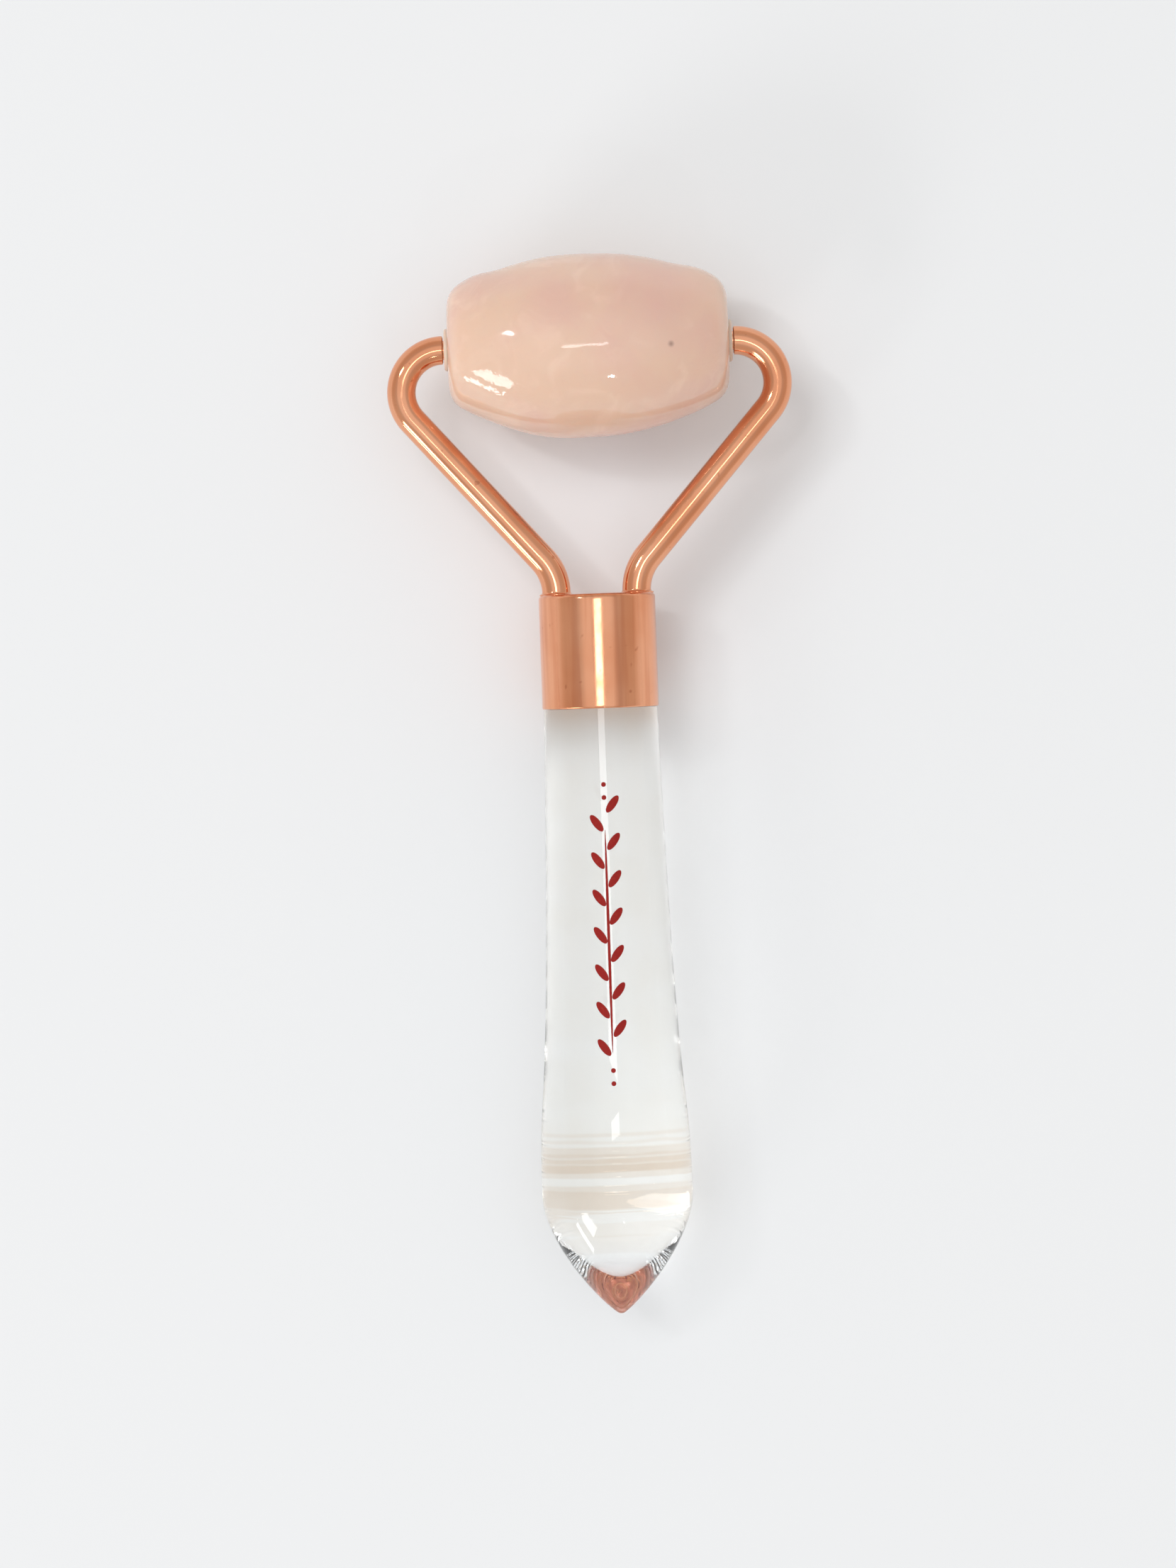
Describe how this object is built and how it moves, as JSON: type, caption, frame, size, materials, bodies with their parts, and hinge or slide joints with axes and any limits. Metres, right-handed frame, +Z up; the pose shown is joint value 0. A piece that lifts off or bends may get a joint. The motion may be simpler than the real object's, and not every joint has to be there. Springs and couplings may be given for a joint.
{
  "type": "facial massage roller",
  "caption": "Barrel-shaped polished stone that spins freely in a bent wire fork, with a metal ferrule and a clear pointed handle, lying on its side.",
  "frame": {"origin": "on the surface that the roller lies on, under the middle of its box", "axes": "+X along the stone's axle, +Y from the handle's tip towards the stone, +Z up"},
  "size_m": [0.0424, 0.1112, 0.0195],
  "materials": {
    "stone": "polished rose quartz, cloudy pink",
    "nylon": "natural nylon, satin",
    "copper_plate": "polished rose gold plating",
    "plain_brass": "turned, copper flashed",
    "clear_acrylic": "polished clear cast acrylic",
    "printed_ink": "brick red pad-printed ink"
  },
  "bodies": {
    "handle_frame": {"handle": "clear_acrylic", "handle_stud": "plain_brass", "ferrule": "copper_plate", "fork_core": "plain_brass", "left_arm": "copper_plate", "right_arm": "copper_plate"},
    "stone_roller": {"roller_stone": "stone", "left_bushing": "nylon", "right_bushing": "nylon"}
  },
  "joints": [
    {"name": "stone_spin", "type": "hinge", "parent": "handle_frame", "child": "stone_roller", "pos_m": [0, 0.04581, 0.00975], "axis": [1, 0, 0], "continuous": true}
  ]
}
